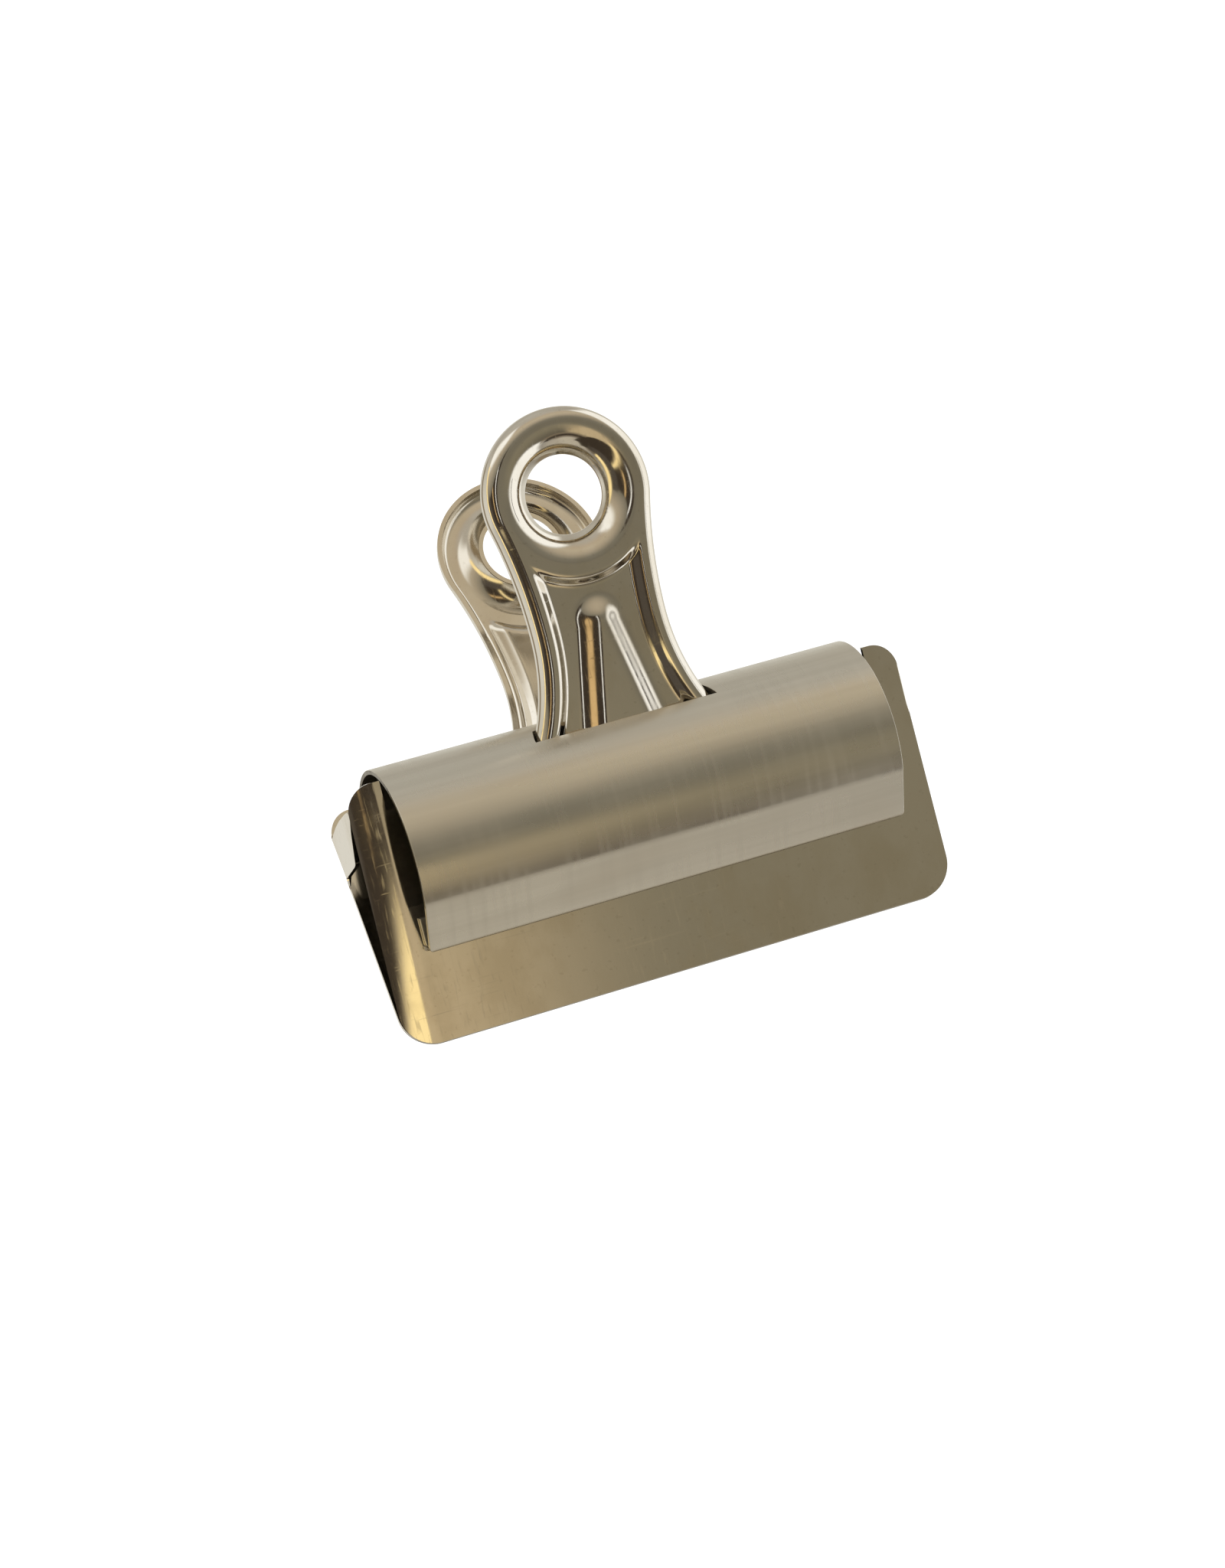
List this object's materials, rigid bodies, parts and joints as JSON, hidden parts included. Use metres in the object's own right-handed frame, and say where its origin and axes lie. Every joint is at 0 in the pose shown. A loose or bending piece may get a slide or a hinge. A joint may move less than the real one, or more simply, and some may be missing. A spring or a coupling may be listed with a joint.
{
  "type": "bulldog clip",
  "caption": "Nickel-plated steel bulldog clip: wide stamped jaws with ringed finger levers, held closed by a C-section spring barrel.",
  "frame": {"origin": "on the gripping lips, at the middle of the clip", "axes": "+X along the barrel, -Y is the front jaw, +Z from the lips towards the finger rings"},
  "size_m": [0.0762, 0.0356, 0.072],
  "materials": {
    "spring_steel": "satin nickel plate, rolled along the barrel",
    "nickel_plate": "bright nickel plate"
  },
  "bodies": {
    "barrel": {"spring_barrel": "spring_steel"},
    "front_jaw": {"front_jaw": "nickel_plate"},
    "rear_jaw": {"rear_jaw": "nickel_plate"}
  },
  "joints": [
    {"name": "front_jaw_hinge", "type": "hinge", "parent": "barrel", "child": "front_jaw", "pos_m": [0, 0, 0.0305], "axis": [-1, 0, 0], "range_deg": [0, 11], "stiffness_Nm_per_rad": 1, "springref_deg": -17.19, "deforming": ["spring_barrel"]},
    {"name": "rear_jaw_hinge", "type": "hinge", "parent": "barrel", "child": "rear_jaw", "pos_m": [0, 0, 0.0305], "axis": [1, 0, 0], "range_deg": [0, 11], "stiffness_Nm_per_rad": 1, "springref_deg": -17.19}
  ],
  "couplings": [
    {"joint": "rear_jaw_hinge", "follows": "front_jaw_hinge", "ratio": 1}
  ]
}
